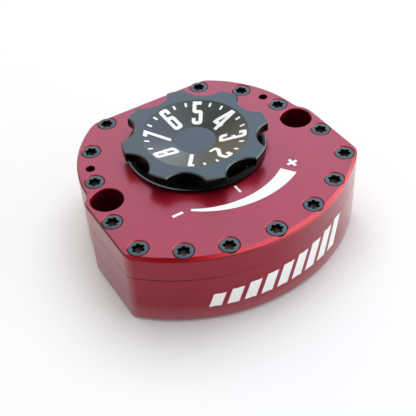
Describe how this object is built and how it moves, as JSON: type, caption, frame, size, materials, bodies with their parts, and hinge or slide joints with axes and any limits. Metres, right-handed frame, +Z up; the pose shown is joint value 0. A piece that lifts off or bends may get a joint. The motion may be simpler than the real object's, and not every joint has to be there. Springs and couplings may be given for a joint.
{
  "type": "motorcycle steering damper",
  "caption": "Rotary vane steering damper: low curved red metal housing with a screwed cover, scalloped black rate knob on top, counterbored mounting holes and a rotor face for an arm below.",
  "frame": {"origin": "on the rotor and knob axis, in the plane of the base face", "axes": "+Z up through the knob, -Y towards the long curved front, +X along the line of the mounting holes; x = 0 is the middle plane"},
  "size_m": [0.0952, 0.0899, 0.038],
  "materials": {
    "red_anodised_alloy": "bead-blasted red anodise, satin",
    "black_anodised_alloy": "black anodise, satin, turned dial",
    "black_oxide_steel": "black oxide, satin",
    "bright_steel": "ground, bright",
    "bearing_bronze": "turned",
    "brass": "turned",
    "black_rubber": "moulded, matt"
  },
  "bodies": {
    "housing": {"main_body": "red_anodised_alloy", "top_cover": "red_anodised_alloy", "cover_screws": "black_oxide_steel", "cover_seal": "black_rubber", "locating_dowels": "bright_steel", "upper_bush": "bearing_bronze", "lower_bush": "bearing_bronze", "upper_thrust_washer": "bearing_bronze", "lower_thrust_washer": "bearing_bronze", "shaft_seal": "black_rubber", "seal_retaining_ring": "bright_steel", "oil_plugs": "bright_steel", "oil_plug_washers": "brass", "valve_gland": "brass", "stem_seal": "black_rubber", "knob_clip": "bright_steel", "click_balls": "bright_steel", "click_springs": "bright_steel", "stop_pin": "bright_steel"},
    "rotor": {"rotor_shaft": "bright_steel", "vane_seal": "black_rubber"},
    "adjuster": {"adjuster_knob": "black_anodised_alloy", "dial_cap": "black_anodised_alloy"},
    "needle": {"valve_needle": "brass"}
  },
  "joints": [
    {"name": "rotor_swing", "type": "hinge", "parent": "housing", "child": "rotor", "pos_m": [0, 0, 0], "axis": [0, 0, 1], "range_deg": [-50, 50]},
    {"name": "knob_turn", "type": "hinge", "parent": "housing", "child": "adjuster", "pos_m": [0, 0, 0], "axis": [0, 0, 1], "range_deg": [-280, 35]},
    {"name": "needle_feed", "type": "slide", "parent": "adjuster", "child": "needle", "axis": [0, 0, 1], "range_m": [-0.00078, 0.00011]}
  ],
  "couplings": [
    {"joint": "needle_feed", "follows": "knob_turn", "m_per_rad": 0.00015915}
  ]
}
